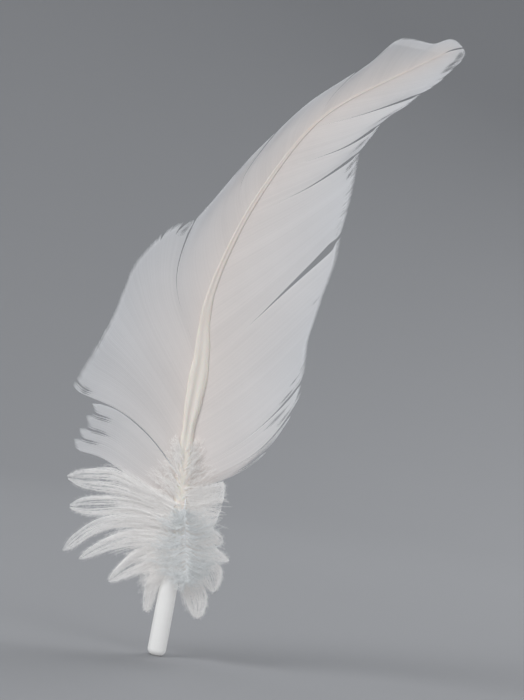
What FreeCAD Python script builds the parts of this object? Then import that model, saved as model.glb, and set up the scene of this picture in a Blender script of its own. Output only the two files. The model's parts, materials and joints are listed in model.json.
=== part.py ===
import FreeCAD, Part
import math
import os

from FreeCAD import Vector

# A quill pen made of one large white wing feather, with all its vanes and down left on.
# Units are millimetres.  The origin is the middle of the barrel's rounded lower end.
# +Z runs up the barrel, +X is the side to which the tip bends, and -Y is the hollow
# (ventral) face of the feather, where the shaft has its groove.

# Barrel (calamus)
BARREL_RADIUS = 3.15
BARREL_WALL = 0.5
BARREL_CORNER = 2.1
BARREL_STRAIGHT = 13.1
BARREL_TOP = 42.0
BARREL_TOP_RADIUS = 2.75
UMBILICUS_RADIUS = 0.45
FIT_GAP = 0.04

# Dried pulp caps inside the barrel
CAP_COUNT = 9
CAP_PITCH = 3.8
CAP_FIRST = 5.0
CAP_DOME_RADIUS = 3.1
CAP_WALL = 0.16
CAP_RADIUS = 2.15
UPPER_CAP_THICKNESS = 1.2

# Shaft (rachis): height, sideways place, front width and depth of each station
SHAFT = [
    (42.0, 0.0, 5.5, 5.5),
    (50.0, -0.7, 5.4, 5.2),
    (60.0, -1.9, 5.0, 4.9),
    (69.0, -2.8, 4.4, 4.6),
    (77.0, -3.2, 4.0, 4.4),
    (86.0, -3.2, 5.8, 4.2),
    (94.0, -3.1, 6.4, 4.0),
    (103.0, -3.4, 5.2, 3.7),
    (114.0, -4.4, 3.6, 3.2),
    (124.0, -3.9, 2.6, 2.8),
    (136.0, -1.4, 2.1, 2.4),
    (150.0, 2.7, 1.8, 2.0),
    (164.0, 8.4, 1.5, 1.7),
    (178.0, 15.5, 1.2, 1.3),
    (191.0, 25.6, 1.0, 1.0),
    (203.0, 41.2, 0.7, 0.7),
    (214.0, 56.6, 0.4, 0.4),
]
SHAFT_SQUARENESS = 0.8
SHAFT_SECTION_POINTS = 20
GROOVE_DEPTH = 0.22
GROOVE_HALF_WIDTH = 0.6
CORTEX_WALL = 0.35
PITH_TOP = 172.0
SECTION_PITCH = 5.0
HALVINGS = 40
BOW = 20.0

# Vanes
ROOT_GAP = 0.35
ROOT_POINTS = 9
SEAM = 0.4
VANE_THICKNESS = 0.4
DOWN_THICKNESS = 0.9
CAMBER = 6.0
VANE_REACH = 36.0
CAMBER_POWER = 1.6
PATCH_ROWS = 13
PATCH_COLUMNS = 9

# Lines along which the barbs have unhooked, from the shaft outwards: the height of the root,
# how far the split is open on each side of its line at the margin, and its points as (x, z)
RIGHT_SPLITS = [
    (55.0, 0.0, [(6.4, 59.2), (12.4, 62.6), (17.4, 66.2)]),
    (57.6, 0.0, [(10.0, 64.6), (19.0, 71.7), (25.0, 79.5), (31.2, 92.6)]),
    (63.0, 0.0, [(10.0, 71.0), (23.0, 85.4), (31.2, 98.8)]),
    (100.0, 0.8, [(10.7, 114.9), (21.6, 130.2), (30.6, 142.6), (35.0, 148.9)]),
    (150.0, 0.0, [(11.0, 155.6), (20.4, 162.5), (35.8, 177.4)]),
    (167.0, 0.0, [(20.0, 172.2), (31.2, 178.8), (40.6, 187.6)]),
    (183.0, 0.0, [(26.0, 186.0), (34.2, 189.9), (51.9, 199.8)]),
    (214.0, 0.0, [(59.6, 215.6), (63.0, 216.8)]),
]
RIGHT_MARGINS = [
    [(22.9, 72.6), (28.2, 83.0)],
    [(31.8, 96.0)],
    [(31.6, 103.6), (30.9, 112.6), (31.9, 121.3), (33.3, 131.0), (35.1, 141.5)],
    [(35.5, 155.0), (36.1, 165.5)],
    [(38.1, 182.1), (40.4, 186.7)],
    [(43.8, 191.5), (48.1, 195.3)],
    [(55.0, 202.4), (58.1, 205.6), (60.5, 209.1), (62.9, 212.4), (64.0, 215.4)],
]

LEFT_SPLITS = [
    (62.0, 0.0, [(-14.0, 71.0), (-24.0, 77.5), (-34.0, 80.8), (-44.3, 82.3)]),
    (103.0, 0.0, [(-10.5, 111.5), (-16.0, 124.0), (-16.3, 134.0), (-14.0, 145.8)]),
    (150.0, 0.0, [(-0.8, 159.0), (2.2, 169.2), (7.3, 179.0)]),
    (186.0, 0.4, [(22.6, 192.2), (25.6, 197.4), (29.6, 203.0)]),
    (214.0, 0.0, [(59.4, 215.9), (62.6, 217.2)]),
]
LEFT_MARGINS = [
    [(-41.8, 90.0), (-35.5, 107.9), (-33.3, 117.5), (-30.3, 129.2), (-25.5, 137.0), (-20.6, 142.6)],
    [(-8.9, 153.8), (0.4, 169.4)],
    [(17.5, 192.0), (26.4, 200.2)],
    [
        (35.4, 208.8),
        (40.6, 215.2),
        (43.8, 217.0),
        (49.2, 216.8),
        (54.0, 217.1),
        (58.4, 219.2),
        (60.6, 218.8),
    ],
]

# Locks that taper to their own ends: shaft range, lower edge, tip and upper edge, as (x, z)
LEFT_LOCK = (
    52.3,
    61.3,
    [(-10.0, 54.4), (-18.0, 57.0), (-24.0, 59.8), (-30.0, 62.2), (-36.0, 62.9)],
    [(-41.3, 62.6), (-36.4, 79.4)],
    [(-14.0, 70.4), (-24.0, 76.9), (-31.0, 79.4)],
)
LEFT_DOWN = [
    (27.5, 31.7, [(-3.7, 24.0), (-3.9, 19.0)], [(-5.0, 13.4), (-6.9, 13.8)], [(-6.8, 26.0), (-7.9, 19.5)]),
    (32.0, 36.7, [(-8.6, 27.2), (-13.0, 24.8)], [(-19.6, 21.0), (-20.6, 22.3)], [(-11.0, 35.0), (-17.4, 28.4)]),
    (37.0, 40.2, [(-11.0, 35.8), (-18.0, 33.6)], [(-30.2, 26.7), (-31.8, 28.2)], [(-14.0, 40.3), (-22.4, 36.8)]),
    (40.5, 43.7, [(-14.0, 41.0), (-24.0, 38.6)], [(-35.4, 28.4), (-38.0, 30.4)], [(-17.0, 45.0), (-28.0, 41.4)]),
    (
        44.0,
        47.2,
        [(-17.0, 45.6), (-28.0, 42.6)],
        [(-36.9, 42.2), (-37.7, 46.5)],
        [(-10.0, 48.8), (-18.0, 50.2), (-29.0, 49.6)],
    ),
    (
        47.5,
        51.7,
        [(-10.0, 49.2), (-18.0, 50.7), (-30.0, 50.8)],
        [(-38.5, 51.3), (-40.9, 56.2)],
        [(-10.0, 54.0), (-17.0, 56.4), (-25.0, 59.4), (-31.0, 58.7)],
    ),
]
RIGHT_DOWN = [
    (27.5, 33.7, [(5.0, 23.6), (7.0, 19.4)], [(10.0, 14.9), (12.8, 14.4)], [(8.0, 29.2), (13.6, 22.0)]),
    (34.0, 39.7, [(8.4, 29.8), (14.0, 24.6)], [(14.9, 23.9), (16.3, 25.6)], [(9.0, 36.4), (16.4, 33.0)]),
    (40.0, 43.7, [(9.0, 37.0), (14.0, 34.8)], [(18.3, 35.2), (18.6, 36.6)], [(8.0, 42.6), (13.0, 39.6)]),
    (44.0, 46.7, [(8.6, 43.0), (12.0, 40.6)], [(14.4, 39.6), (16.0, 42.4)], [(8.0, 46.2), (13.0, 44.5)]),
    (47.0, 54.7, [(7.0, 46.8), (10.6, 45.2)], [(12.2, 45.6), (13.2, 62.4)], [(6.4, 58.8), (10.0, 60.9)]),
]

# Afterfeather: a small downy feather in front of the barrel, hung from the upper umbilicus
AFTER_TOP = (0.6, 51.0)
AFTER_END = (5.6, 27.0)
AFTER_SHAFT_RADIUS = 0.45
AFTER_END_RADIUS = 0.2
AFTER_FRONT = 5.4
AFTER_LEFT = [(-1.5, 50.0), (-6.0, 46.0), (-7.4, 38.0), (-4.6, 30.0), (3.0, 26.0)]
AFTER_RIGHT = [(3.2, 50.4), (11.0, 48.0), (15.4, 41.0), (13.8, 32.0), (8.0, 26.0)]
# It curls back by this share of its reach, up to a reach of some barrel radii
AFTER_CURL = 0.36
AFTER_CURL_REACH = 3.0


def bow(z):
    """Depth of the shaft's axis: straight in the barrel, then bending to the hollow face."""
    rise = max(z - BARREL_TOP, 0.0) / (SHAFT[-1][0] - BARREL_TOP)
    return -BOW * rise ** 2


def shaft_curve():
    axis = Part.BSplineCurve()
    points = [Vector(x, bow(z), z) for z, x, width, depth in SHAFT]
    axis.interpolate(Points=points, InitialTangent=Vector(0, 0, 1), FinalTangent=points[-1] - points[-2])
    return axis


SHAFT_AXIS = shaft_curve()


def shaft_frame(z):
    """Centre, sideways and front-to-back directions of the shaft at a height."""
    if z <= BARREL_TOP:
        return Vector(0, 0, z), Vector(1, 0, 0), Vector(0, 1, 0)
    low, high = SHAFT_AXIS.FirstParameter, SHAFT_AXIS.LastParameter
    for halving in range(HALVINGS):
        middle = (low + high) / 2
        if SHAFT_AXIS.value(middle).z < z:
            low = middle
        else:
            high = middle
    along = SHAFT_AXIS.tangent(low)[0]
    sideways = Vector(0, 1, 0).cross(along).normalize()
    return SHAFT_AXIS.value(low), sideways, along.cross(sideways)


def shaft_size(z):
    """Front width and depth of the shaft at a height, eased between its stations."""
    for (z0, x0, width0, depth0), (z1, x1, width1, depth1) in zip(SHAFT, SHAFT[1:]):
        if z <= z1:
            share = max((z - z0) / (z1 - z0), 0.0)
            ease = share * share * (3 - 2 * share)
            return width0 + (width1 - width0) * ease, depth0 + (depth1 - depth0) * ease
    return SHAFT[-1][2:]


def sheet_depth(x, z):
    """Depth of the vane sheet: it follows the bow and cups towards the hollow face."""
    top = SHAFT[-1][0]
    centre = shaft_frame(min(z, top))[0]
    away = abs(x - centre.x) / VANE_REACH
    return bow(z) - CAMBER * away ** CAMBER_POWER


def turned(radius, top_radius, bottom, corner):
    """Solid of revolution with a rounded lower end, a straight stretch and a slow taper."""
    bend = corner * (1 - math.sqrt(0.5))
    start = Vector(radius - corner, 0, bottom)
    half_way = Vector(radius - bend, 0, bottom + bend)
    end = Vector(radius, 0, bottom + corner)
    rest = [
        end,
        Vector(radius, 0, BARREL_STRAIGHT),
        Vector(top_radius, 0, BARREL_TOP),
        Vector(0, 0, BARREL_TOP),
        Vector(0, 0, bottom),
        start,
    ]
    edges = [Part.Arc(start, half_way, end).toShape()]
    edges += [Part.makeLine(a, b) for a, b in zip(rest, rest[1:])]
    face = Part.Face(Part.Wire(edges))
    return face.revolve(Vector(0, 0, 0), Vector(0, 0, 1), 360)


def barrel():
    outer = turned(BARREL_RADIUS, BARREL_TOP_RADIUS, 0.0, BARREL_CORNER)
    inside = BARREL_RADIUS - BARREL_WALL
    lumen = turned(inside, BARREL_TOP_RADIUS - BARREL_WALL, BARREL_WALL, BARREL_CORNER - BARREL_WALL / 2)
    hole = Part.makeCylinder(UMBILICUS_RADIUS, 2 * BARREL_WALL, Vector(0, 0, -BARREL_WALL / 2))
    return outer.cut(lumen).cut(hole)


def pulp_caps():
    latitude = math.degrees(math.acos(CAP_RADIUS / CAP_DOME_RADIUS))
    drop = CAP_DOME_RADIUS * math.sin(math.radians(latitude))
    caps = []
    for row in range(CAP_COUNT):
        centre = Vector(0, 0, CAP_FIRST + row * CAP_PITCH - drop)
        dome = Part.makeSphere(CAP_DOME_RADIUS, centre, Vector(0, 0, 1), latitude, 90, 360)
        caps.append(dome.cut(Part.makeSphere(CAP_DOME_RADIUS - CAP_WALL, centre)))
    return Part.makeCompound(caps)


def signed_power(value, power):
    return math.copysign(abs(value) ** power, value)


def shaft_section(z, inset):
    """Rounded box across the shaft, with the groove in its ventral side."""
    width, depth = shaft_size(z)
    centre, sideways, back = shaft_frame(z)
    half_side = width / 2 - inset
    half_back = depth / 2 - inset
    points = []
    for step in range(SHAFT_SECTION_POINTS):
        angle = 2 * math.pi * step / SHAFT_SECTION_POINTS
        side = half_side * signed_power(math.cos(angle), SHAFT_SQUARENESS)
        rear = half_back * signed_power(math.sin(angle), SHAFT_SQUARENESS)
        if math.sin(angle) < 0 and z > BARREL_TOP:
            closeness = max(0.0, 1 - abs(math.cos(angle)) / GROOVE_HALF_WIDTH)
            rear += GROOVE_DEPTH * half_back * closeness
        points.append(centre + sideways * side + back * rear)
    return Part.makePolygon(points + points[:1])


def shaft_solid(top, inset):
    count = round((top - BARREL_TOP) / SECTION_PITCH)
    heights = [BARREL_TOP + (top - BARREL_TOP) * step / count for step in range(count + 1)]
    return Part.makeLoft([shaft_section(z, inset) for z in heights], True, False)


def curve_points(points, count):
    """Points at even steps along a smooth curve through the given (x, z) points."""
    line = Part.BSplineCurve()
    line.interpolate([Vector(x, 0, z) for x, z in points])
    return line.toShape().discretize(Number=count)


def beside_shaft(side, z):
    """The (x, z) place where a vane starts, clear of the shaft's side."""
    centre, sideways, back = shaft_frame(z)
    half_width = BARREL_RADIUS if z < BARREL_TOP else shaft_size(z)[0] / 2
    place = centre + sideways * side * (half_width + ROOT_GAP)
    return place.x, place.z


def offset(points, amount, growth):
    """Points moved to the left of their path, by more and more towards its end."""
    moved = []
    last = len(points) - 1
    for index, (x, z) in enumerate(points):
        x0, z0 = points[max(index - 1, 0)]
        x1, z1 = points[min(index + 1, last)]
        run = math.hypot(x1 - x0, z1 - z0)
        shift = amount + growth * index / last
        moved.append((x - (z1 - z0) / run * shift, z + (x1 - x0) / run * shift))
    return moved


def patch(root, lower, margin, upper, depth_at, thickness):
    """Thin solid on a sheet, filled between a root line, two barb lines and a margin."""
    roots = curve_points(root, PATCH_ROWS)
    lows = curve_points([root[0]] + lower, PATCH_COLUMNS)
    ups = curve_points([root[-1]] + upper, PATCH_COLUMNS)
    ends = curve_points([lower[-1]] + margin + [upper[-1]], PATCH_ROWS)
    grid = []
    for row in range(PATCH_ROWS):
        u = row / (PATCH_ROWS - 1)
        line = []
        for column in range(PATCH_COLUMNS):
            v = column / (PATCH_COLUMNS - 1)
            place = lows[column] * (1 - u) + ups[column] * u + roots[row] * (1 - v) + ends[row] * v
            near = roots[0] * (1 - u) + roots[-1] * u
            far = ends[0] * (1 - u) + ends[-1] * u
            place = place - near * (1 - v) - far * v
            line.append(Vector(place.x, depth_at(place.x, place.z), place.z))
        grid.append(line)
    sheet = Part.BSplineSurface()
    sheet.interpolate(grid)
    return sheet.toShape().extrude(Vector(0, thickness, 0))


def root_line(side, low, high):
    steps = ROOT_POINTS - 1
    return [beside_shaft(side, low + (high - low) * step / steps) for step in range(ROOT_POINTS)]


def vane(side, splits, margins, name, first, parts):
    """The panels of one vane, each between two neighbouring splits."""
    for index, margin in enumerate(margins):
        low, open_below, below = splits[index]
        high, open_above, above = splits[index + 1]
        root = root_line(side, low + SEAM / 2, high - SEAM / 2)
        lower = offset(below, side * SEAM / 2, side * open_below)
        upper = offset(above, -side * SEAM / 2, -side * open_above)
        panel = f"{name}_vane_{first + index}"
        parts[panel] = patch(root, lower, margin, upper, sheet_depth, VANE_THICKNESS)


def lock(side, low, high, lower, tip, upper, thickness):
    """A lock of barbs from a stretch of the shaft's side to its own blunt tip."""
    return patch(root_line(side, low, high), lower + tip[:1], [], upper + tip[1:], sheet_depth, thickness)


def down(side, fingers, name, parts):
    for index, finger in enumerate(fingers):
        parts[f"{name}_down_{index + 1}"] = lock(side, *finger, DOWN_THICKNESS)


def after_depth(x, z):
    """The afterfeather lies in front of the barrel and curls round it a little."""
    height = (z - AFTER_END[1]) / (AFTER_TOP[1] - AFTER_END[1])
    axis = AFTER_END[0] + (AFTER_TOP[0] - AFTER_END[0]) * height
    away = abs(x - axis) / BARREL_RADIUS
    return -AFTER_FRONT + AFTER_CURL * min(away, AFTER_CURL_REACH)


def afterfeather(parts):
    top = Vector(AFTER_TOP[0], -AFTER_FRONT, AFTER_TOP[1])
    end = Vector(AFTER_END[0], -AFTER_FRONT, AFTER_END[1])
    run = end - top
    parts["afterfeather_shaft"] = Part.makeCone(AFTER_SHAFT_RADIUS, AFTER_END_RADIUS, run.Length, top, run)
    for side, name, outline in ((-1, "left", AFTER_LEFT), (1, "right", AFTER_RIGHT)):
        clear = side * (AFTER_SHAFT_RADIUS + ROOT_GAP)
        root = [(AFTER_END[0] + clear, AFTER_END[1]), (AFTER_TOP[0] + clear, AFTER_TOP[1])]
        solid = patch(root, [outline[-1]], outline[-2:0:-1], [outline[0]], after_depth, VANE_THICKNESS)
        parts[f"afterfeather_down_{name}"] = solid


def build():
    parts = {}
    parts["calamus_barrel"] = barrel()
    parts["lower_umbilicus_plug"] = Part.makeCylinder(UMBILICUS_RADIUS - FIT_GAP, BARREL_WALL)
    parts["pulp_caps"] = pulp_caps()
    lumen_top = BARREL_TOP_RADIUS - BARREL_WALL - FIT_GAP
    cap_floor = Vector(0, 0, BARREL_TOP - UPPER_CAP_THICKNESS)
    parts["upper_umbilicus_cap"] = Part.makeCylinder(lumen_top, UPPER_CAP_THICKNESS, cap_floor)
    outer = shaft_solid(SHAFT[-1][0], 0.0)
    parts["rachis_cortex"] = outer.cut(shaft_solid(PITH_TOP, CORTEX_WALL))
    parts["rachis_pith"] = shaft_solid(PITH_TOP, CORTEX_WALL + FIT_GAP)
    vane(1, RIGHT_SPLITS, RIGHT_MARGINS, "right", 1, parts)
    parts["left_vane_1"] = lock(-1, *LEFT_LOCK, VANE_THICKNESS)
    vane(-1, LEFT_SPLITS, LEFT_MARGINS, "left", 2, parts)
    down(-1, LEFT_DOWN, "left", parts)
    down(1, RIGHT_DOWN, "right", parts)
    afterfeather(parts)
    return parts


os.makedirs("parts", exist_ok=True)
for name, shape in build().items():
    print(name, shape.isValid(), round(shape.Volume, 2), len(shape.Solids))
    shape.exportStep(f"parts/{name}.step")
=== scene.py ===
import bpy
import json
import math
import numpy as np
from mathutils import Matrix, Vector


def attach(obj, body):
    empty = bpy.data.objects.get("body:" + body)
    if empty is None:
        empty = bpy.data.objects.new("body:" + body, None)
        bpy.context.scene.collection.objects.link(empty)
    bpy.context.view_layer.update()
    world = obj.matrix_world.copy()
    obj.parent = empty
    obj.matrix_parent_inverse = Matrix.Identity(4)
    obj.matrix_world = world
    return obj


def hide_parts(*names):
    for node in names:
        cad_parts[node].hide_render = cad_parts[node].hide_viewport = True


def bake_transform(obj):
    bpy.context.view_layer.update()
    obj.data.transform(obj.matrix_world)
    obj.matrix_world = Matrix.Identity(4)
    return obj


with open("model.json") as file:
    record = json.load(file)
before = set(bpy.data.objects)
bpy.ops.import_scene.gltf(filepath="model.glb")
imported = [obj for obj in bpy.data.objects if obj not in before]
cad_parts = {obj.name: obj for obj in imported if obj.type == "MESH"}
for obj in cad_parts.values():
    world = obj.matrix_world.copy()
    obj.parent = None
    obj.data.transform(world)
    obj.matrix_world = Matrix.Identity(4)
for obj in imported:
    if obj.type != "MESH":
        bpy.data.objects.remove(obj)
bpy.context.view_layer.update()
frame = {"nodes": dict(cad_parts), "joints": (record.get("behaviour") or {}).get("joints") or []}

# ---------------------------------------------------------------------------------------
# Studio: a seamless pale floor that rises into a round wall, soft lights and the camera.
# The pen stands upright on its barrel end, and the camera looks square at its hollow face,
# rolled so that the barrel leans as a pen lying on a desk would.
# ---------------------------------------------------------------------------------------
FLOOR_RADIUS = 0.75
WALL_CURVE = 0.6
WALL_TOP = 1.15
CURVE_STEPS = 12
TURN_STEPS = 96
MERGE = 0.0001
CAMERA_DISTANCE = 0.8
FIELD_TALL = 0.2333
SENSOR = 36.0
CAMERA_LEAN = math.radians(10.65)
AIM = Vector((0.0162, -0.008, 0.1075))

bpy.ops.object.select_all(action="DESELECT")
profile = [(0.0, 0.0), (FLOOR_RADIUS, 0.0)]
for step in range(1, CURVE_STEPS + 1):
    turn = math.radians(90 * step / CURVE_STEPS)
    profile.append((FLOOR_RADIUS + WALL_CURVE * math.sin(turn), WALL_CURVE * (1 - math.cos(turn))))
profile.append((FLOOR_RADIUS + WALL_CURVE, WALL_TOP))
floor_mesh = bpy.data.meshes.new("studio_floor")
floor_mesh.from_pydata([(r, 0, z) for r, z in profile], [(i, i + 1) for i in range(len(profile) - 1)], [])
floor = bpy.data.objects.new("studio_floor", floor_mesh)
bpy.context.scene.collection.objects.link(floor)
bpy.context.view_layer.objects.active = floor
floor.select_set(True)
bpy.ops.object.mode_set(mode="EDIT")
bpy.ops.mesh.select_all(action="SELECT")
bpy.ops.mesh.spin(steps=TURN_STEPS, angle=2 * math.pi, center=(0, 0, 0), axis=(0, 0, 1))
bpy.ops.mesh.select_all(action="SELECT")
bpy.ops.mesh.remove_doubles(threshold=MERGE)
bpy.ops.mesh.normals_make_consistent(inside=True)
bpy.ops.object.mode_set(mode="OBJECT")
bpy.ops.object.shade_smooth()

camera_data = bpy.data.cameras.new("camera")
camera_data.sensor_width = SENSOR
camera_data.lens = SENSOR * CAMERA_DISTANCE / FIELD_TALL
camera = bpy.data.objects.new("camera", camera_data)
right = Vector((math.cos(CAMERA_LEAN), 0, math.sin(CAMERA_LEAN)))
up = Vector((-math.sin(CAMERA_LEAN), 0, math.cos(CAMERA_LEAN)))
back = right.cross(up)
camera.matrix_world = Matrix((right, up, back)).transposed().to_4x4()
camera.location = AIM + back * CAMERA_DISTANCE
bpy.context.scene.collection.objects.link(camera)
bpy.context.scene.camera = camera
bpy.context.scene.view_settings.view_transform = "Standard"

# Lights: name, place, what it faces, size and power
LIGHTS = [
    ("key_light", (-0.7, -0.75, 0.75), (0.0, 0.0, 0.11), 0.5, 7.5),
    ("fill_light", (0.85, -0.8, 0.45), (0.0, 0.0, 0.11), 0.8, 2.2),
    ("back_light", (0.45, 0.85, 0.75), (0.0, 0.0, 0.12), 0.6, 5.0),
]
for name, place, target, size, power in LIGHTS:
    light_data = bpy.data.lights.new(name, "AREA")
    light_data.shape = "DISK"
    light_data.size = size
    light_data.energy = power
    light = bpy.data.objects.new(name, light_data)
    light.location = place
    light.rotation_mode = "QUATERNION"
    light.rotation_quaternion = (Vector(target) - Vector(place)).to_track_quat("-Z", "Y")
    bpy.context.scene.collection.objects.link(light)

world = bpy.data.worlds.new("studio_light")
world.use_nodes = True
world.node_tree.nodes["Background"].inputs["Color"].default_value = (0.96, 0.975, 1.0, 1.0)
world.node_tree.nodes["Background"].inputs["Strength"].default_value = 1.15
bpy.context.scene.world = world


class Wire:
    """A shader output on which sums and products add Math nodes."""

    def __init__(self, finish, socket):
        self.finish = finish
        self.socket = socket

    def math(self, operation, first, second):
        return self.finish.node("ShaderNodeMath", {"operation": operation}, {0: first, 1: second})

    def __add__(self, other):
        return self.math("ADD", self, other)

    def __sub__(self, other):
        return self.math("SUBTRACT", self, other)

    def __rsub__(self, other):
        return self.math("SUBTRACT", other, self)

    def __mul__(self, other):
        return self.math("MULTIPLY", self, other)

    def __pow__(self, other):
        return self.math("POWER", self, other)

    __radd__ = __add__
    __rmul__ = __mul__


class Finish:
    """A material in the making: its Principled shader, and node() for every other node."""

    def __init__(self, name, constants):
        self.material = bpy.data.materials.new(name)
        self.material.use_nodes = True
        self.nodes = self.material.node_tree.nodes
        self.shader = self.nodes["Principled BSDF"]
        for socket, value in constants.items():
            self.shader.inputs[socket].default_value = value

    def join(self, value, socket):
        if isinstance(value, Wire):
            self.material.node_tree.links.new(value.socket, socket)
        else:
            socket.default_value = value

    def node(self, kind, settings, inputs, output=0):
        """Adds a node: its settings first, then the values or links of its sockets."""
        made = self.nodes.new(kind)
        for key, value in settings.items():
            if key == "stops":
                made.color_ramp.elements[0].position = value[0][0]
                made.color_ramp.elements[0].color = value[0][1]
                made.color_ramp.elements[1].position = value[-1][0]
                made.color_ramp.elements[1].color = value[-1][1]
                for place, colour in value[1:-1]:
                    made.color_ramp.elements.new(place).color = colour
            else:
                setattr(made, key, value)
        for key, value in inputs.items():
            self.join(value, made.inputs[key])
        return Wire(self, made.outputs[output])

    def place(self):
        return self.node("ShaderNodeTexCoord", {}, {}, "Object")

    def value_of(self, attribute):
        return self.node("ShaderNodeAttribute", {"attribute_name": attribute}, {}, "Fac")

    def noise(self, scale, detail, stretch=(1, 1, 1)):
        moved = self.node("ShaderNodeMapping", {}, {"Vector": self.place(), "Scale": stretch})
        return self.node("ShaderNodeTexNoise", {}, {"Vector": moved, "Scale": scale, "Detail": detail})

    def mix(self, share, first, second):
        """A colour between two others."""
        settings = {"data_type": "RGBA"}
        return self.node("ShaderNodeMix", settings, {0: share, 6: first, 7: second}, 2)

    def shade(self, colour, amount):
        """A colour darkened by a number from 0 to 1."""
        settings = {"data_type": "RGBA", "blend_type": "MULTIPLY"}
        grey = self.node("ShaderNodeCombineColor", {}, {0: amount, 1: amount, 2: amount})
        return self.node("ShaderNodeMix", settings, {0: 1.0, 6: colour, 7: grey}, 2)

    def bump(self, height, strength, distance):
        inputs = {"Height": height, "Strength": strength, "Distance": distance}
        return self.node("ShaderNodeBump", {}, inputs)

    def set(self, **varying):
        for socket, value in varying.items():
            self.join(value, self.shader.inputs[socket.replace("_", " ")])
        return self.material


paper = Finish("backdrop_paper", {"Roughness": 0.95, "Specular IOR Level": 0.1})
grain = paper.noise(3.0, 4.0)
paper_colour = paper.mix(grain, (0.235, 0.24, 0.25, 1), (0.245, 0.25, 0.26, 1))
floor.data.materials.append(paper.set(Base_Color=paper_colour))

# ---------------------------------------------------------------------------------------
# Shaft: the horny rachis, a tapering four-sided rod with a groove down its hollow side.
# It grows out of the barrel in one piece, bends over the length of the vane and ends as a
# hair.  Lengths here are in millimetres and every mesh is brought to metres when it is made.
# ---------------------------------------------------------------------------------------
MM = 0.001
BARREL_TOP = 42.0
BARREL_RADIUS = 3.15
BOW = 20.0
# height, sideways place, front width and depth of each station
SHAFT = np.array([
    (42.0, 0.0, 5.5, 5.5),
    (50.0, -0.7, 5.4, 5.2),
    (60.0, -1.9, 5.0, 4.9),
    (69.0, -2.8, 4.4, 4.6),
    (77.0, -3.2, 4.0, 4.4),
    (86.0, -3.2, 5.8, 4.2),
    (94.0, -3.1, 6.4, 4.0),
    (103.0, -3.4, 5.2, 3.7),
    (114.0, -4.4, 3.6, 3.2),
    (124.0, -3.9, 2.6, 2.8),
    (136.0, -1.4, 2.1, 2.4),
    (150.0, 2.7, 1.8, 2.0),
    (164.0, 8.4, 1.5, 1.7),
    (178.0, 15.5, 1.2, 1.3),
    (191.0, 25.6, 1.0, 1.0),
    (203.0, 41.2, 0.7, 0.7),
    (214.0, 56.6, 0.4, 0.4),
])
SHAFT_TOP = SHAFT[-1][0]
RING_POINTS = 32
RING_STEP = 1.2
SQUARENESS = 0.8
SHAFT_SOCKET = 4.0
BARREL_SIDE = 3.0
SLOPE_STEP = 0.1
GROOVE_HALF_WIDTH = 0.34
GROOVE_DEPTH = 0.42
# how deep the groove is and how far the hollow face bulges, by height
GROOVE_HEIGHTS = [60.0, 82.0, 94.0, 118.0]
GROOVE_SHARES = [0.0, 1.0, 0.8, 0.25]
BULGE_HEIGHTS = [50.0, 77.0, 100.0, 130.0]
BULGE_SHARES = [1.0, 0.7, 0.55, 0.3]


def spline(knots, values, where):
    """A natural cubic curve through the values, read at the given places."""
    knots, values, where = (np.asarray(a, float) for a in (knots, values, where))
    gaps = np.diff(knots)
    count = len(knots)
    system = np.eye(count)
    slopes = np.diff(values) / gaps
    right_side = np.zeros(count)
    for i in range(1, count - 1):
        system[i, i - 1:i + 2] = gaps[i - 1], 2 * (gaps[i - 1] + gaps[i]), gaps[i]
        right_side[i] = 6 * (slopes[i] - slopes[i - 1])
    bends = np.linalg.solve(system, right_side)
    i = np.clip(np.searchsorted(knots, where) - 1, 0, count - 2)
    step = where - knots[i]
    lead = slopes[i] - gaps[i] * (2 * bends[i] + bends[i + 1]) / 6
    twist = (bends[i + 1] - bends[i]) / (6 * gaps[i])
    return values[i] + step * (lead + step * (bends[i] / 2 + step * twist))


def bow(z):
    """Depth of the shaft's axis: straight in the barrel, then bending to the hollow face."""
    return -BOW * (np.maximum(z - BARREL_TOP, 0) / (SHAFT_TOP - BARREL_TOP)) ** 2


def shaft_place(z):
    """Centre, sideways direction and half width of the shaft at some heights."""
    z = np.asarray(z, float)
    inside = np.clip(z, BARREL_TOP, SHAFT_TOP)
    x = spline(SHAFT[:, 0], SHAFT[:, 1], inside) * (z > BARREL_TOP)
    ahead = spline(SHAFT[:, 0], SHAFT[:, 1], np.clip(inside + SLOPE_STEP, BARREL_TOP, SHAFT_TOP))
    behind = spline(SHAFT[:, 0], SHAFT[:, 1], np.clip(inside - SLOPE_STEP, BARREL_TOP, SHAFT_TOP))
    lean = np.where(z > BARREL_TOP, (ahead - behind) / (2 * SLOPE_STEP), 0)
    length = np.hypot(1, lean)
    centre = np.stack([x, bow(z), z], -1)
    sideways = np.stack([1 / length, 0 * z, -lean / length], -1)
    return centre, sideways, np.where(z > BARREL_TOP, shaft_size(z)[0] / 2, BARREL_SIDE)


def shaft_size(z):
    """Front width and depth of the shaft, eased between its stations."""
    i = np.clip(np.searchsorted(SHAFT[:, 0], z) - 1, 0, len(SHAFT) - 2)
    share = np.clip((z - SHAFT[i, 0]) / (SHAFT[i + 1, 0] - SHAFT[i, 0]), 0, 1)
    ease = share * share * (3 - 2 * share)
    return tuple(SHAFT[i, k] + (SHAFT[i + 1, k] - SHAFT[i, k]) * ease for k in (2, 3))


def make_piece(name, points, faces, attributes, material, smooth=True):
    """A mesh object from points in millimetres, with its named values per point."""
    mesh = bpy.data.meshes.new(name)
    mesh.from_pydata((np.asarray(points) * MM).tolist(), [], faces)
    for key, values in attributes.items():
        attribute = mesh.attributes.new(key, "FLOAT", "POINT")
        attribute.data.foreach_set("value", np.asarray(values, np.float32))
    if smooth:
        mesh.shade_smooth()
    mesh.materials.append(material)
    piece = bpy.data.objects.new(name, mesh)
    bpy.context.scene.collection.objects.link(piece)
    return piece


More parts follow.
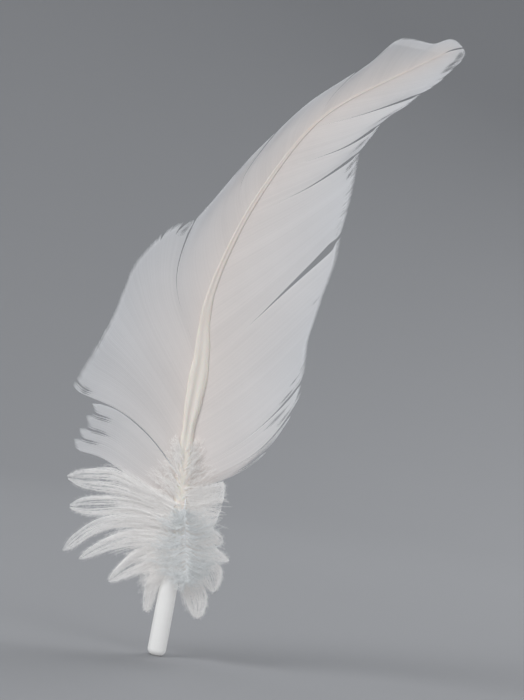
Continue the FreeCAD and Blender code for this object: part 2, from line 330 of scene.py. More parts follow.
def tube_faces(rings, around):
    """Quads of a closed tube of rings, with both its ends capped."""
    faces = []
    for ring in range(rings - 1):
        for k in range(around):
            a, b = ring * around + k, ring * around + (k + 1) % around
            faces.append((a, b, b + around, a + around))
    faces.append(tuple(range(around - 1, -1, -1)))
    faces.append(tuple((rings - 1) * around + k for k in range(around)))
    return faces


horn = Finish("quill_horn", {"Specular IOR Level": 0.3, "Subsurface Weight": 0.12,
                             "Subsurface Scale": 0.002})
streaks = horn.noise(900.0, 3.0, (1, 1, 0.04))
clouds = horn.noise(90.0, 2.0, (1, 1, 0.5))
horn_colour = horn.mix(clouds, (0.88, 0.825, 0.74, 1), (0.93, 0.885, 0.82, 1))
height = horn.node("ShaderNodeSeparateXYZ", {}, {"Vector": horn.place()}, "Z")
thin = horn.node("ShaderNodeMapRange", {"clamp": True}, {0: height, 1: 0.100, 2: 0.130, 3: 0.0, 4: 0.85})
horn_colour = horn.mix(thin, horn_colour, (0.80, 0.735, 0.685, 1))
horn_colour = horn.shade(horn_colour, 0.93 + streaks * 0.1)
horn.set(Base_Color=horn_colour, Roughness=0.5 + streaks * 0.2, Normal=horn.bump(streaks, 0.2, 0.0002))


def shaft_rings(heights, inset):
    """Points round the shaft at some heights, or round its inside by an inset."""
    rings = []
    for z in heights:
        centre, sideways, half_width = shaft_place(z)
        width, depth = shaft_size(max(z, BARREL_TOP))
        half_side = width / 2 - inset
        half_back = depth / 2 - inset
        for k in range(RING_POINTS):
            angle = 2 * math.pi * k / RING_POINTS
            side = math.copysign(abs(math.cos(angle)) ** SQUARENESS, math.cos(angle)) * half_side
            rear = math.copysign(abs(math.sin(angle)) ** SQUARENESS, math.sin(angle)) * half_back
            if math.sin(angle) < 0:
                dip = max(0.0, 1 - (math.cos(angle) / GROOVE_HALF_WIDTH) ** 2) ** 2
                rear *= np.interp(z, BULGE_HEIGHTS, BULGE_SHARES)
                rear += dip * np.interp(z, GROOVE_HEIGHTS, GROOVE_SHARES) * GROOVE_DEPTH * half_back
            rings.append(centre + sideways * side + np.array([0, rear, 0]))
    return rings


heights = np.append(np.arange(BARREL_TOP - SHAFT_SOCKET, SHAFT_TOP, RING_STEP), SHAFT_TOP)
horn_faces = tube_faces(len(heights), RING_POINTS)
rachis = make_piece("rachis", shaft_rings(heights, 0.0), horn_faces, {}, horn.material)
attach(rachis, "shaft")
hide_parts("rachis_cortex")

# ---------------------------------------------------------------------------------------
# Barrel: the bare hollow calamus, thin clear horn with a closed round end.  It is turned
# as one cup with its wall, and the little pore of the lower umbilicus is left open.
# ---------------------------------------------------------------------------------------
BARREL_STRAIGHT = 13.1
BARREL_TOP_RADIUS = 2.75
BARREL_CORNER = 2.1
BARREL_WALL = 0.5
PORE_RADIUS = 0.45
INNER_CORNER = 1.85
CORNER_STEPS = 8
TAPER_STEPS = 12
BARREL_SIDES = 64
BARREL_MERGE = 0.00001


def cup_line(radius, top_radius, floor_height, corner):
    """Half outline of a round-bottomed cup, from the pore's edge to the rim."""
    line = [(PORE_RADIUS, floor_height)]
    for step in range(CORNER_STEPS + 1):
        turn = math.radians(90 * step / CORNER_STEPS)
        line.append((radius - corner * (1 - math.sin(turn)), floor_height + corner * (1 - math.cos(turn))))
    for step in range(1, TAPER_STEPS + 1):
        share = step / TAPER_STEPS
        z = BARREL_STRAIGHT + (BARREL_TOP - BARREL_STRAIGHT) * share
        line.append((radius + (top_radius - radius) * share, z))
    return line


outside = cup_line(BARREL_RADIUS, BARREL_TOP_RADIUS, 0.0, BARREL_CORNER)
inner_radius = BARREL_RADIUS - BARREL_WALL
inside = cup_line(inner_radius, BARREL_TOP_RADIUS - BARREL_WALL, BARREL_WALL, INNER_CORNER)
wall = outside + inside[::-1]
bpy.ops.object.select_all(action="DESELECT")
barrel_mesh = bpy.data.meshes.new("barrel")
edges = [(i, (i + 1) % len(wall)) for i in range(len(wall))]
barrel_mesh.from_pydata([(r * MM, 0, z * MM) for r, z in wall], edges, [])
barrel = bpy.data.objects.new("barrel", barrel_mesh)
bpy.context.scene.collection.objects.link(barrel)
bpy.context.view_layer.objects.active = barrel
barrel.select_set(True)
bpy.ops.object.mode_set(mode="EDIT")
bpy.ops.mesh.select_all(action="SELECT")
bpy.ops.mesh.spin(steps=BARREL_SIDES, angle=2 * math.pi, center=(0, 0, 0), axis=(0, 0, 1))
bpy.ops.mesh.select_all(action="SELECT")
bpy.ops.mesh.remove_doubles(threshold=BARREL_MERGE)
bpy.ops.mesh.normals_make_consistent(inside=False)
bpy.ops.object.mode_set(mode="OBJECT")
bpy.ops.object.shade_smooth_by_angle(angle=math.radians(50))
# The faint emission makes the barrel glow: painted light that brightens it beyond its lighting.
clear_horn = Finish("barrel_horn", {"Coat Weight": 0.6, "Coat Roughness": 0.12, "Alpha": 0.7,
                                    "Emission Color": (1.0, 0.99, 0.97, 1), "Emission Strength": 0.13})
rings_of_growth = clear_horn.noise(500.0, 2.0, (0.05, 0.05, 1))
fibres = clear_horn.noise(1500.0, 2.0, (1, 1, 0.03))
barrel_colour = clear_horn.mix(rings_of_growth, (0.91, 0.91, 0.90, 1), (0.97, 0.97, 0.965, 1))
clear_horn.set(Base_Color=clear_horn.shade(barrel_colour, 0.94 + fibres * 0.08),
               Roughness=0.22 + fibres * 0.2, Normal=clear_horn.bump(fibres, 0.2, 0.0002))
barrel.data.materials.append(clear_horn.material)
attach(barrel, "shaft")
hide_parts("calamus_barrel")

# ---------------------------------------------------------------------------------------
# Inside of the shaft: dried pulp caps and the two plugs, which keep their own shapes, and
# the foamy pith, which fills the horn of the shaft from the barrel's top to its thin end.
# ---------------------------------------------------------------------------------------
PITH_TOP = 172.0
PITH_INSET = 0.39

pulp = Finish("dried_pulp", {"Specular IOR Level": 0.2})
pulp_spots = pulp.noise(700.0, 4.0)
pulp_colour = pulp.mix(pulp_spots, (0.72, 0.68, 0.62, 1), (0.90, 0.88, 0.84, 1))
pulp.set(Base_Color=pulp_colour, Roughness=0.7 + pulp_spots * 0.25)
pith = Finish("pith_foam", {"Specular IOR Level": 0.1})
pores = pith.noise(2500.0, 2.0)
pith_colour = pith.mix(pores, (0.80, 0.79, 0.76, 1), (0.95, 0.94, 0.92, 1))
pith.set(Base_Color=pith_colour, Roughness=0.9 + pores * 0.1, Normal=pith.bump(pores, 0.5, 0.0002))
pith_heights = np.arange(BARREL_TOP, PITH_TOP, RING_STEP)
pith_faces = tube_faces(len(pith_heights), RING_POINTS)
pith_core = make_piece("pith", shaft_rings(pith_heights, PITH_INSET), pith_faces, {}, pith.material)
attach(pith_core, "shaft")
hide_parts("rachis_pith")
for node in ("pulp_caps", "lower_umbilicus_plug", "upper_umbilicus_cap"):
    frame["nodes"][node].data.materials.clear()
    frame["nodes"][node].data.materials.append(pulp.material)

# ---------------------------------------------------------------------------------------
# Vanes: two webs of barbs, each barb a thin keratin blade that leaves the shaft's side and
# curves to the margin.  The barbs hook together; along a split they have come apart, and
# each panel between two splits is one piece.
# ---------------------------------------------------------------------------------------
BARB_PITCH = 0.42
BARB_STEPS = 28
BARB_OVERLAP = 0.78
BARB_HALF_THICKNESS = 0.06
BARB_TILT = math.radians(4)
TIP_CURL = 2.4
TIP_CURL_START = 0.88
LOCK_POINT = 0.3
ROOT_SINK = 0.3
ROOT_STEPS = 61
LINE_STEPS = 121
DENSE_STEPS = 400
RAGGED = 0.012
FEWEST_BARBS = 8
TONE_BANDS = 14
HALF_WIDTHS = (0.05, 0.6)
FOLLOW_WITHIN = 0.012
SHEET_STEP = 0.2
CAMBER = 6.0
VANE_REACH = 36.0
CAMBER_POWER = 1.6
SEAM = 0.12
SPLIT_START = 0.24
SPLIT_WIDEST = 0.92
SPLIT_END = 0.965
WORN_SHARE = 0.92

# Splits between panels: height of the root, how far each side gapes, and the way outwards
RIGHT_SPLITS = [
    (55.0, 0.0, [(6.4, 59.2), (12.4, 62.6), (17.4, 66.2)]),
    (57.6, 0.2, [(10.0, 64.6), (19.0, 71.7), (25.0, 79.5), (31.2, 92.6)]),
    (63.0, 0.3, [(10.0, 71.0), (23.0, 85.4), (31.2, 98.8)]),
    (100.0, 1.15, [(10.7, 114.9), (21.6, 130.2), (30.6, 142.6), (35.0, 148.9)]),
    (150.0, 0.45, [(11.0, 155.6), (20.4, 162.5), (35.8, 177.4)]),
    (167.0, 0.4, [(20.0, 172.2), (31.2, 178.8), (40.6, 187.6)]),
    (183.0, 0.35, [(26.0, 186.0), (34.2, 189.9), (51.9, 199.8)]),
    (214.0, 0.0, [(59.6, 215.6), (63.0, 216.8)]),
]
RIGHT_MARGINS = [
    [(22.9, 72.6), (28.2, 83.0)],
    [(31.8, 96.0)],
    [(31.6, 103.6), (30.9, 112.6), (31.9, 121.3), (33.3, 131.0), (35.1, 141.5)],
    [(35.5, 155.0), (36.1, 165.5)],
    [(38.1, 182.1), (40.4, 186.7)],
    [(43.8, 191.5), (48.1, 195.3)],
    [(55.0, 202.4), (58.1, 205.6), (60.5, 209.1), (62.9, 212.4), (64.0, 215.4)],
]
LEFT_SPLITS = [
    (62.0, 0.0, [(-14.0, 71.0), (-24.0, 77.5), (-34.0, 80.8), (-44.3, 82.3)]),
    (103.0, 0.3, [(-10.5, 111.5), (-16.0, 124.0), (-16.3, 134.0), (-14.0, 145.8)]),
    (150.0, 0.12, [(-0.8, 159.0), (2.2, 169.2), (7.3, 179.0)]),
    (186.0, 0.06, [(22.6, 192.2), (25.6, 197.4), (29.6, 203.0)]),
    (214.0, 0.0, [(59.4, 215.9), (62.6, 217.2)]),
]
LEFT_MARGINS = [
    [(-41.8, 90.0), (-35.5, 107.9), (-33.3, 117.5), (-30.3, 129.2), (-25.5, 137.0), (-20.6, 142.6)],
    [(-8.9, 153.8), (0.4, 169.4)],
    [(17.5, 192.0), (26.4, 200.2)],
    [
        (35.4, 208.8),
        (40.6, 215.2),
        (43.8, 217.0),
        (49.2, 216.8),
        (54.0, 217.1),
        (58.4, 219.2),
        (60.6, 218.8),
    ],
]
LEFT_LOCK = (
    52.3,
    61.3,
    [(-10.0, 54.4), (-18.0, 57.0), (-24.0, 59.8), (-30.0, 62.2), (-36.0, 62.9)],
    [(-41.3, 62.6), (-36.4, 79.4)],
    [(-14.0, 70.4), (-24.0, 76.9), (-31.0, 79.4)],
)
# Where barbs have parted a little near the margin: (share up the panel, start along the
# barb, how far they open), by panel
PARTINGS = {
    "right_vane_3": [(0.13, 0.8, 0.005), (0.62, 0.84, 0.006)],
    "right_vane_4": [(0.3, 0.9, 0.006), (0.55, 0.86, 0.008), (0.9, 0.8, 0.01)],
    "right_vane_5": [(0.45, 0.7, 0.03), (0.75, 0.75, 0.03)],
    "right_vane_6": [(0.3, 0.75, 0.02), (0.7, 0.7, 0.03)],
    "left_vane_2": [(0.03, 0.8, 0.006), (0.83, 0.93, 0.02), (0.93, 0.88, 0.016)],
    "left_vane_3": [(0.55, 0.92, 0.008), (0.8, 0.9, 0.01)],
    "left_vane_4": [(0.4, 0.9, 0.008)],
}
# Panels whose barbs cling in locks: how many, how tightly at the margin, and from where
LOCKS = {
    "right_vane_1": (2, 0.3, 0.4),
    "right_vane_2": (2, 0.12, 0.6),
    "left_vane_1": (4, 0.16, 0.75),
    "right_vane_7": (5, 0.06, 0.85),
    "left_vane_5": (4, 0.06, 0.85),
}
# Worn spots, where only bare threads are left: share up, share along, and their spreads
WORN = {
    "right_vane_1": [(0.5, 0.7, 0.3, 0.2)],
    "right_vane_2": [(0.75, 0.74, 0.12, 0.16), (0.3, 0.82, 0.14, 0.11)],
    "right_vane_3": [(0.03, 0.84, 0.02, 0.1), (0.1, 0.89, 0.016, 0.06), (0.66, 0.9, 0.012, 0.05)],
    "right_vane_4": [(0.8, 0.93, 0.04, 0.03), (0.93, 0.92, 0.03, 0.05)],
    "right_vane_5": [(0.6, 0.88, 0.2, 0.05)],
    "right_vane_6": [(0.5, 0.86, 0.16, 0.07)],
    "right_vane_7": [(0.62, 0.9, 0.08, 0.06), (0.76, 0.86, 0.1, 0.08), (0.9, 0.84, 0.07, 0.1)],
    "left_vane_1": [(0.22, 0.86, 0.06, 0.09), (0.46, 0.84, 0.07, 0.12), (0.74, 0.86, 0.08, 0.1)],
    "left_vane_2": [(0.02, 0.9, 0.03, 0.05), (0.97, 0.93, 0.03, 0.05)],
    "left_vane_3": [(0.6, 0.95, 0.12, 0.03)],
    "left_vane_5": [(0.3, 0.88, 0.13, 0.05)],
}


def line_through(points, count=LINE_STEPS):
    """Evenly spaced points along a smooth line through the given ones."""
    points = np.asarray(points, float)
    reach = np.append(0, np.cumsum(np.hypot(*np.diff(points, axis=0).T)))
    if len(points) > 2:
        dense = np.linspace(0, reach[-1], DENSE_STEPS)
        points = np.stack([spline(reach, points[:, k], dense) for k in (0, 1)], -1)
        reach = np.append(0, np.cumsum(np.hypot(*np.diff(points, axis=0).T)))
    even = np.linspace(0, reach[-1], count)
    return np.stack([np.interp(even, reach, points[:, k]) for k in (0, 1)], -1)


def read(line, share):
    """Points of an even line at shares of its length."""
    places = np.linspace(0, 1, len(line))
    return np.stack([np.interp(share, places, line[:, k]) for k in (0, 1)], -1)


def sheet_depth(x, z):
    """Depth of the vane sheet: it follows the bow and cups towards the hollow face."""
    centre = shaft_place(np.minimum(z, SHAFT_TOP))[0]
    return bow(z) - CAMBER * (np.abs(x - centre[..., 0]) / VANE_REACH) ** CAMBER_POWER


def sheet_front(x, z):
    """Direction square to the sheet, towards the hollow face."""
    slope_x = (sheet_depth(x + SHEET_STEP, z) - sheet_depth(x - SHEET_STEP, z)) / (2 * SHEET_STEP)
    slope_z = (sheet_depth(x, z + SHEET_STEP) - sheet_depth(x, z - SHEET_STEP)) / (2 * SHEET_STEP)
    front = np.stack([slope_x, -np.ones_like(x), slope_z], -1)
    return front / np.linalg.norm(front, axis=-1, keepdims=True)


def root_line(side, low, high, sink):
    """Where barbs leave the shaft's side, a little inside it."""
    heights = np.linspace(low, high, ROOT_STEPS)
    centre, sideways, half_width = shaft_place(heights)
    place = centre + sideways * (side * (half_width - sink))[:, None]
    return place[:, [0, 2]]


def moved_over(line, amount, growth):
    """A line moved to its left: by an amount, and by more where the split gapes."""
    path = np.gradient(line, axis=0)
    path /= np.linalg.norm(path, axis=1, keepdims=True)
    along = np.linspace(0, 1, len(line))
    opening = np.clip((along - SPLIT_START) / (SPLIT_WIDEST - SPLIT_START), 0, 1) ** 1.6
    closing = np.clip((SPLIT_END - along) / (SPLIT_END - SPLIT_WIDEST), 0, 1)
    shift = amount * np.clip(along * 10, 0, 1) + growth * np.minimum(opening, closing)
    return line + np.stack([-path[:, 1], path[:, 0]], -1) * shift[:, None]


def panel_place(lines, u, v):
    """Point of a panel at a share u up the shaft and v along the barbs."""
    roots, lows, ups, ends = lines
    u, v = u[..., None], v[..., None]
    edges = read(lows, v[..., 0]) * (1 - u) + read(ups, v[..., 0]) * u
    ends_now = read(roots, u[..., 0]) * (1 - v) + read(ends, u[..., 0]) * v
    near = roots[0] * (1 - u) + roots[-1] * u
    far = ends[0] * (1 - u) + ends[-1] * u
    return edges + ends_now - near * (1 - v) - far * v


def unit(vectors):
    return vectors / np.maximum(np.linalg.norm(vectors, axis=-1, keepdims=True), 1e-9)


def blades(lines, tones, half_width, half_thickness, tilt, front):
    """Thin four-sided blades along many lines: points, faces and values per point."""
    count, steps = lines.shape[:2]
    path = unit(np.gradient(lines, axis=1))
    across = unit(np.cross(path, front))
    lifted = across * math.cos(tilt) + front * math.sin(tilt)
    raised = front * half_thickness[..., None]
    spread = lifted * half_width[..., None]
    ring = np.stack([lines - spread, lines + raised, lines + spread, lines - raised], 2)
    faces = []
    one = tube_faces(steps, 4)
    for blade in range(count):
        start = blade * steps * 4
        faces += [tuple(start + k for k in face) for face in one]
    along = np.broadcast_to(np.linspace(0, 1, steps)[None, :, None], (count, steps, 4))
    tone = np.broadcast_to(tones[:, None, None], (count, steps, 4))
    return ring.reshape(-1, 3), faces, {"along": along.ravel(), "tone": tone.ravel()}


vane = Finish("vane_web", {"Specular IOR Level": 0.35, "Sheen Weight": 0.15, "Sheen Roughness": 0.5})
along = vane.value_of("along")
tone = vane.value_of("tone")
mottle = vane.noise(60.0, 3.0)
# The web runs from a warmer cream near the shaft to a cooler grey at the margin; the darkening outwards is
# painted shade.
vane_colour = vane.mix(along ** 0.7, (0.89, 0.825, 0.785, 1), (0.74, 0.75, 0.77, 1))
# Lighter margin: partly the curled barb tips, partly painted highlight along the rim.
curled_tips_and_highlight = vane.node("ShaderNodeMapRange", {"clamp": True}, {0: along, 1: 0.94, 2: 1.0, 3: 0.0, 4: 0.2})
vane_colour = vane.shade(vane_colour, 0.86 + tone * 0.08 + mottle * 0.08 + curled_tips_and_highlight)
vane.set(Base_Color=vane_colour, Roughness=0.5 + mottle * 0.2)


def web(name, body, lines, seed):
    """One panel of hooked barbs."""
    random = np.random.default_rng(seed)
    length = np.sum(np.hypot(*np.diff(lines[0], axis=0).T))
    ends_length = max(np.sum(np.hypot(*np.diff(lines[3], axis=0).T)), TIP_CURL)
    count = max(int(max(length, ends_length * 0.6) / BARB_PITCH), FEWEST_BARBS)
    u = (np.arange(count) + 0.5) / count
    v = np.linspace(0, 1, BARB_STEPS) ** 0.9
    reach = 1 - RAGGED * random.random((count, 1)) ** 2
    grid_u = np.broadcast_to(u[:, None], (count, BARB_STEPS)).copy()
    grid_v = v[None, :] * reach
    for middle, start, opening in PARTINGS.get(name, []):
        apart = u[:, None] - middle
        late = np.clip((grid_v - start) / (1 - start), 0, 1) ** 1.5
        grid_u += np.sign(apart) * opening * late * np.exp(-np.abs(apart) / (3 * opening + 0.01))
    if name in LOCKS:
        locks, tightness, start = LOCKS[name]
        borders = np.linspace(0, 1, locks + 1)
        borders[1:-1] += random.uniform(-0.3, 0.3, locks - 1) / locks
        lock = np.clip(np.searchsorted(borders, u) - 1, 0, locks - 1)
        middle = (borders[lock] + borders[lock + 1]) / 2
        cling = tightness * np.clip((grid_v - start) / (1 - start), 0, 1) ** 1.3
        grid_u += (middle[:, None] - grid_u) * cling
        off_middle = np.clip(2 * locks * np.abs(u - middle), 0, 1)[:, None]
        reach = reach * (1 - LOCK_POINT * tightness * off_middle ** 1.4)
        grid_v = v[None, :] * reach
    curl = np.clip((grid_v - TIP_CURL_START) / (1 - TIP_CURL_START), 0, 1) ** 2
    grid_u = np.clip(grid_u + curl * TIP_CURL / ends_length, 0, 1)
    flat = panel_place(lines, grid_u, grid_v)
    x, z = flat[..., 0], flat[..., 1]
    place = np.stack([x, sheet_depth(x, z), z], -1)
    front = sheet_front(x, z)
    path = unit(np.gradient(place, axis=1))
    across = np.cross(path, front)
    even_u = np.broadcast_to(u[:, None], grid_u.shape)
    neighbour = np.gradient(panel_place(lines, even_u, grid_v), axis=0)
    gap = np.abs(neighbour[..., 0] * across[..., 0] + neighbour[..., 1] * across[..., 2])
    half_width = np.clip(gap * BARB_OVERLAP, *HALF_WIDTHS)
    taper = np.clip((1 - np.linspace(0, 1, BARB_STEPS)) * 14, 0.06, 1)[None, :]
    half_width = half_width * taper
    for middle, place_along, spread, spread_along in WORN.get(name, []):
        near = ((u[:, None] - middle) / spread) ** 2 + ((grid_v - place_along) / spread_along) ** 2
        half_width = half_width * (1 - WORN_SHARE * np.exp(-near))
    thick = BARB_HALF_THICKNESS * np.linspace(1.3, 0.7, BARB_STEPS)[None, :] * taper * np.ones((count, 1))
    bands = np.interp(u, np.linspace(0, 1, TONE_BANDS), random.random(TONE_BANDS))
    tones = 0.45 * random.random(count) + 0.55 * bands
    points, faces, values = blades(place, tones, half_width, thick, BARB_TILT, front)
    piece = make_piece(name + "_web", points, faces, values, vane.material, smooth=False)
    hang(piece, body, name)
    return piece


def hang(piece, body, *nodes):
    """Bakes the piece's placement into its mesh and hides the nodes it stands in for; the joint and the
    piece's reach from it are worked out, but the piece is neither bent nor hung from its body.
    """
    joint = next(j for j in frame["joints"] if j["child"] == body)
    start = Vector(joint["pos_m"])
    low, high = piece_box(piece)
    middle = (low + high) / 2
    axis = Vector(joint["axis"])
    outwards = (middle - start) - axis * (middle - start).dot(axis)
    bend = min(outwards.length, FOLLOW_WITHIN)
    start - outwards.normalized() * 0.0005
    start + outwards.normalized() * bend
    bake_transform(piece)
    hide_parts(*nodes)


def piece_box(piece):
    co = np.empty(len(piece.data.vertices) * 3)
    piece.data.vertices.foreach_get("co", co)
    co = co.reshape(-1, 3)
    return Vector(co.min(0)), Vector(co.max(0))


def panel_lines(side, low, high, lower, margin, upper, gape_low=0.0, gape_high=0.0):
    """Root line, lower and upper edge and margin of a panel that gapes at its edges."""
    roots = root_line(side, low, high, ROOT_SINK)
    below = moved_over(line_through([roots[0], *lower]), side * SEAM / 2, side * gape_low)
    above = moved_over(line_through([roots[-1], *upper]), -side * SEAM / 2, -side * gape_high)
    return roots, below, above, line_through([below[-1], *margin, above[-1]])


def vane_side(side, splits, margins, name, first):
    """All the panels of one vane, each between two neighbouring splits."""
    for index, margin in enumerate(margins):
        low, gape_low, below = splits[index]
        high, gape_high, above = splits[index + 1]
        panel = f"{name}_vane_{first + index}"
        lines = panel_lines(side, low, high, below, margin, above, gape_low, gape_high)
        web(panel, panel, lines, first + index + (10 if side > 0 else 0))


vane_side(1, RIGHT_SPLITS, RIGHT_MARGINS, "right", 1)
vane_side(-1, LEFT_SPLITS, LEFT_MARGINS, "left", 2)
low, high, lower, tip, upper = LEFT_LOCK
web("left_vane_1", "left_vane_1", panel_lines(-1, low, high, lower + tip[:1], [], upper + tip[1:]), 30)

# ---------------------------------------------------------------------------------------
# Down: loose fingers of soft barbs round the top of the barrel.  Their barbules carry no
# hooks, so each finger is a bundle of fine threads with short hairs that clings together.
# ---------------------------------------------------------------------------------------
DOWN_THREADS = 10.0
DOWN_CLUMPS = 2
DOWN_CLING = 0.22
DOWN_RIM_SHARE = 0.6
DOWN_TIP = 0.86
DOWN_TIP_CLING = 0.75
DOWN_STEPS = 16
DOWN_HALF_WIDTH = 0.08
DOWN_SPREAD = 0.88
DOWN_NARROWEST = 3.0
DOWN_FEWEST = 8
DOWN_WANDER = 0.06
DOWN_WAVES = 5
DOWN_THICKNESS = 0.5
# a thread's width from its root to its tip, beside its middling width
THREAD_TAPER = np.linspace(1.2, 0.3, DOWN_STEPS)[None, :]
# hairs on a thread, their greatest length, and the place on a thread whose colour they take
DOWN_HAIRS = (50, 1.7, 0.9)
HAIR_HALF_WIDTH = 0.028
FLUFF_THREADS = 90
FLUFF_REACH = (0.25, 0.7)
FLUFF_SIDE = 2.4
FLUFF_DRIFT = 3.0
FLUFF_FRONT = 3.0
DOWN_SEEDS = {-1: 40, 1: 60}
LEFT_DOWN = [
    (27.5, 31.7, [(-3.7, 24.0), (-3.9, 19.0)], [(-5.0, 13.4), (-6.9, 13.8)], [(-6.8, 26.0), (-7.9, 19.5)]),
    (
        32.0,
        36.7,
        [(-8.6, 27.2), (-13.0, 24.8)],
        [(-19.6, 21.0), (-20.6, 22.3)],
        [(-11.0, 35.0), (-17.4, 28.4)],
    ),
    (
        37.0,
        40.2,
        [(-11.0, 35.8), (-18.0, 33.6)],
        [(-30.2, 26.7), (-31.8, 28.2)],
        [(-14.0, 40.3), (-22.4, 36.8)],
    ),
    (
        40.5,
        43.7,
        [(-14.0, 41.0), (-24.0, 38.6)],
        [(-35.4, 28.4), (-38.0, 30.4)],
        [(-17.0, 45.0), (-28.0, 41.4)],
    ),
    (
        44.0,
        47.2,
        [(-17.0, 45.6), (-28.0, 42.6)],
        [(-36.9, 42.2), (-37.7, 46.5)],
        [(-10.0, 48.8), (-18.0, 50.2), (-29.0, 49.6)],
    ),
    (
        47.5,
        51.7,
        [(-10.0, 49.2), (-18.0, 50.7), (-30.0, 50.8)],
        [(-38.5, 51.3), (-40.9, 56.2)],
        [(-10.0, 54.0), (-17.0, 56.4), (-25.0, 59.4), (-31.0, 58.7)],
    ),
]
RIGHT_DOWN = [
    (27.5, 33.7, [(5.0, 23.6), (7.0, 19.4)], [(10.0, 14.9), (12.8, 14.4)], [(8.0, 29.2), (13.6, 22.0)]),
    (34.0, 39.7, [(8.4, 29.8), (14.0, 24.6)], [(14.9, 23.9), (16.3, 25.6)], [(9.0, 36.4), (16.4, 33.0)]),
    (40.0, 43.7, [(9.0, 37.0), (14.0, 34.8)], [(18.3, 35.2), (18.6, 36.6)], [(8.0, 42.6), (13.0, 39.6)]),
    (44.0, 46.7, [(8.6, 43.0), (12.0, 40.6)], [(14.4, 39.6), (16.0, 42.4)], [(8.0, 46.2), (13.0, 44.5)]),
    (47.0, 54.7, [(7.0, 46.8), (10.6, 45.2)], [(12.2, 45.6), (13.2, 62.4)], [(6.4, 58.8), (10.0, 60.9)]),
]

# The faint emission in the down's own colour is painted light, lifting the shade among the threads.
down = Finish("down_threads", {"Specular IOR Level": 0.3, "Sheen Weight": 0.25, "Sheen Roughness": 0.6,
                               "Emission Strength": 0.1})
thread_tone = down.value_of("tone")
thread_along = down.value_of("along")
down_colour = down.mix(thread_along, (0.93, 0.905, 0.885, 1), (0.89, 0.885, 0.88, 1))
down_colour = down.shade(down_colour, 0.9 + thread_tone * 0.1)
down.set(Base_Color=down_colour, Emission_Color=down_colour, Roughness=0.65 + thread_tone * 0.2)


def hairs(lines, front, per_thread, length, random):
    """Short three-sided hairs standing off the threads: points, faces and tones."""
    count, steps = lines.shape[:2]
    thread = np.repeat(np.arange(count), per_thread)
    where = random.uniform(0.12, 0.97, len(thread)) * (steps - 1)
    low = np.minimum(where.astype(int), steps - 2)
    part = (where - low)[:, None]
    base = lines[thread, low] * (1 - part) + lines[thread, low + 1] * part
    path = unit(lines[thread, low + 1] - lines[thread, low])
    face = front[thread, low]
    across = unit(np.cross(path, face)) * random.choice([-1.0, 1.0], len(thread))[:, None]
    lift = random.normal(0, 0.45, len(thread))[:, None]
    heading = unit(across + face * lift + path * random.uniform(0.3, 1.1, len(thread))[:, None])
    tip = base + heading * (length * random.uniform(0.4, 1.0, len(thread)))[:, None]
    edge = unit(np.cross(heading, face)) * HAIR_HALF_WIDTH
    other = unit(np.cross(edge, heading)) * HAIR_HALF_WIDTH
    corners = np.stack([base + edge, base - edge * 0.5 + other, base - edge * 0.5 - other, tip], 1)
    faces = []
    for hair in range(len(thread)):
        a = hair * 4
        faces += [(a, a + 1, a + 3), (a + 1, a + 2, a + 3), (a + 2, a, a + 3), (a + 2, a + 1, a)]
    return corners.reshape(-1, 3), faces, np.repeat(random.random(len(thread)), 4)


def downy(name, place, front, width, thickness, hair_kind, random, material):
    """A piece made of loose threads that taper to their tips and carry short hairs."""
    hairs_each, hair_length, hair_along = hair_kind
    half_width = width * np.ones((len(place), 1))
    tones = random.random(len(place))
    points, faces, values = blades(place, tones, half_width, half_width * thickness, 0.0, front)
    fine, fine_faces, fine_tones = hairs(place, front, hairs_each, hair_length, random)
    faces += [tuple(len(points) + k for k in face) for face in fine_faces]
    values = {"along": np.append(values["along"], np.full(len(fine), hair_along)),
              "tone": np.append(values["tone"], fine_tones)}
    return make_piece(name, np.concatenate([points, fine]), faces, values, material, smooth=False)


def finger(name, body, side, lines, seed):
    """One lock of down: threads that wander a little and cling together at the tip."""
    random = np.random.default_rng(seed)
    middle = np.hypot(*(read(lines[1], 0.5) - read(lines[2], 0.5)))
    long = int(max(middle, DOWN_NARROWEST) * DOWN_THREADS) + DOWN_FEWEST
    count = long + FLUFF_THREADS
    short = np.arange(count)[:, None] >= long
    u = random.random(count)
    edge = 0.5 - 0.5 * np.cos(np.pi * u)
    u = np.where(random.random(count) < DOWN_RIM_SHARE, edge, u)
    reach = 1 - 0.22 * random.random((count, 1)) ** 3
    reach = np.where(short, random.uniform(*FLUFF_REACH, (count, 1)), reach)
    share = np.linspace(0, 1, DOWN_STEPS)[None, :]
    grid_v = share * reach
    wave = random.normal(0, DOWN_WANDER, (count, 1))
    wave = wave * np.sin(grid_v * DOWN_WAVES + random.uniform(0, 6, (count, 1)))
    clump = (np.floor(u * DOWN_CLUMPS) + 0.5 + random.uniform(-0.2, 0.2)) / DOWN_CLUMPS
    grid_u = u[:, None] + (clump - u)[:, None] * DOWN_CLING * grid_v ** 1.6
    closing = DOWN_TIP_CLING * np.clip((grid_v - DOWN_TIP) / (1 - DOWN_TIP), 0, 1) ** 2
    grid_u = np.clip(grid_u + wave, 0, 1)
    grid_u += (0.5 - grid_u) * closing
    flat = panel_place(lines, grid_u, grid_v)
    drift = random.uniform(-FLUFF_DRIFT, FLUFF_DRIFT, (count, 1)) * share ** 1.5 * short
    x = flat[..., 0] - side * random.uniform(0, FLUFF_SIDE, (count, 1)) * (1 - share) ** 2 * short
    z = flat[..., 1] + drift
    layer = random.normal(0, DOWN_SPREAD, (count, 1)) * np.sin(np.pi * grid_v ** 0.8)
    layer = layer - FLUFF_FRONT * random.random((count, 1)) * (1 - share) * short
    place = np.stack([x, sheet_depth(x, z) + layer, z], -1)
    width = DOWN_HALF_WIDTH * THREAD_TAPER
    front = sheet_front(x, z)
    piece = downy(name + "_lock", place, front, width, DOWN_THICKNESS, DOWN_HAIRS, random, down.material)
    hang(piece, body, name)


